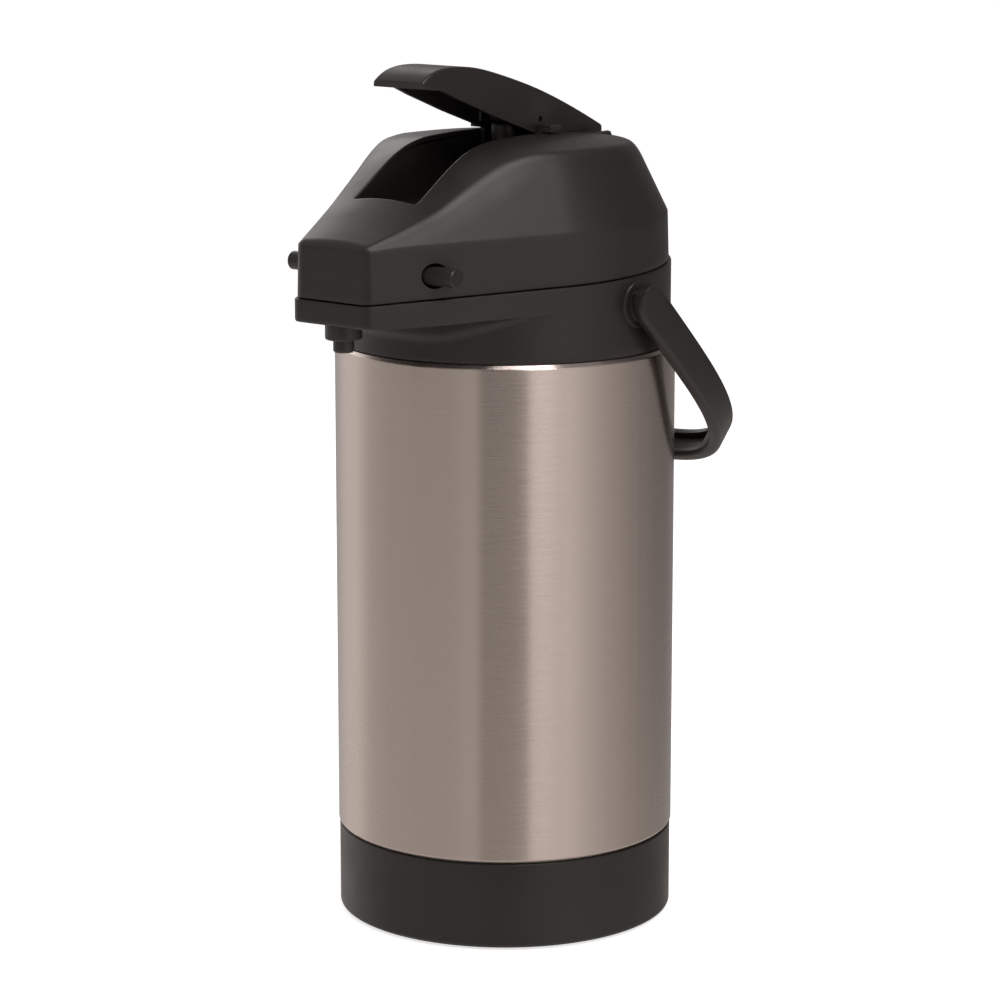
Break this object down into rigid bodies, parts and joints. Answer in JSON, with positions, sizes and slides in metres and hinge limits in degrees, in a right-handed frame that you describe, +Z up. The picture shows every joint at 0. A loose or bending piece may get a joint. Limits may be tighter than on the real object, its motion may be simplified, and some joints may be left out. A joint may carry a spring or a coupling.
{
  "type": "lever airpot",
  "caption": "Lever-type thermal airpot: brushed steel vacuum body, black lid with a pump lever, spout under a nose, bail handle and turntable base.",
  "frame": {"origin": "centre of the rubber ring that the airpot stands on, on the body's axis", "axes": "+Z up along the body, -Y towards the spout, +Y towards the hinge and the hanging handle, +X to the right-hand release button"},
  "size_m": [0.18, 0.2247, 0.4184],
  "materials": {
    "brushed_steel": "brushed, satin",
    "inner_steel": "electropolished",
    "black_plastic": "fine moulded texture, satin",
    "lid_plastic": "fine moulded texture, satin",
    "handle_plastic": "fine moulded texture, satin",
    "button_plastic": "satin",
    "natural_plastic": "natural polypropylene",
    "silicone": "matte silicone",
    "black_rubber": "matte",
    "spring_steel": "bright drawn wire",
    "screw_steel": "zinc plated"
  },
  "bodies": {
    "pot": {"outer_shell": "brushed_steel", "inner_liner": "inner_steel", "vacuum_bottom": "inner_steel", "evacuation_tip": "inner_steel", "base_cup": "black_plastic", "base_screws": "screw_steel", "slip_ring": "natural_plastic", "swivel_screw": "screw_steel", "collar": "black_plastic", "neck_nut": "black_plastic", "lid_hinge_pin": "screw_steel", "handle_pins": "screw_steel", "mouth_carrier": "natural_plastic", "carrier_seal": "silicone", "siphon_tube": "inner_steel", "siphon_foot": "natural_plastic", "siphon_seal": "silicone", "spill_ball": "spring_steel", "delivery_tube": "silicone", "nozzle_collar": "black_plastic", "nozzle_tip": "black_plastic"},
    "turntable": {"swivel_disc": "black_plastic", "foot_ring": "black_rubber"},
    "handle": {"handle": "handle_plastic"},
    "lid": {"lid_shell": "lid_plastic", "lever_well": "lid_plastic", "lid_floor": "natural_plastic", "lid_screws": "screw_steel", "mouth_gasket": "silicone", "outlet_flap": "silicone", "bellows": "black_rubber", "return_spring": "spring_steel", "lever_pin": "screw_steel", "button_spring_right": "spring_steel", "button_spring_left": "spring_steel", "latch_bracket": "natural_plastic"},
    "plunger": {"plunger": "black_plastic", "inlet_valve": "silicone"},
    "lever": {"lever": "lid_plastic"},
    "button_right": {"release_button_right": "button_plastic"},
    "button_left": {"release_button_left": "button_plastic"}
  },
  "joints": [
    {"name": "turntable_spin", "type": "hinge", "parent": "pot", "child": "turntable", "pos_m": [0, 0, 0.004], "axis": [0, 0, 1], "continuous": true},
    {"name": "handle_swing", "type": "hinge", "parent": "pot", "child": "handle", "pos_m": [0, 0.002, 0.3075], "axis": [1, 0, 0], "range_deg": [0, 134]},
    {"name": "lid_hinge", "type": "hinge", "parent": "pot", "child": "lid", "pos_m": [0, 0.086, 0.3246], "axis": [-1, 0, 0], "range_deg": [0, 100]},
    {"name": "lever_press", "type": "hinge", "parent": "lid", "child": "lever", "pos_m": [0, 0.046, 0.377], "axis": [1, 0, 0], "range_deg": [0, 23], "stiffness_Nm_per_rad": 3, "springref_deg": -17.19},
    {"name": "plunger_slide", "type": "slide", "parent": "lid", "child": "plunger", "axis": [0, 0, -1], "range_m": [0, 0.0204], "deforming": ["bellows", "return_spring"]},
    {"name": "button_right_press", "type": "slide", "parent": "lid", "child": "button_right", "axis": [-1, 0, 0], "range_m": [0, 0.0045], "stiffness_N_per_m": 400, "springref_m": -0.002, "deforming": ["button_spring_right"]},
    {"name": "button_left_press", "type": "slide", "parent": "lid", "child": "button_left", "axis": [1, 0, 0], "range_m": [0, 0.0045], "stiffness_N_per_m": 400, "springref_m": -0.002, "deforming": ["button_spring_left"]}
  ],
  "couplings": [
    {"joint": "plunger_slide", "follows": "lever_press", "m_per_rad": 0.0505}
  ]
}
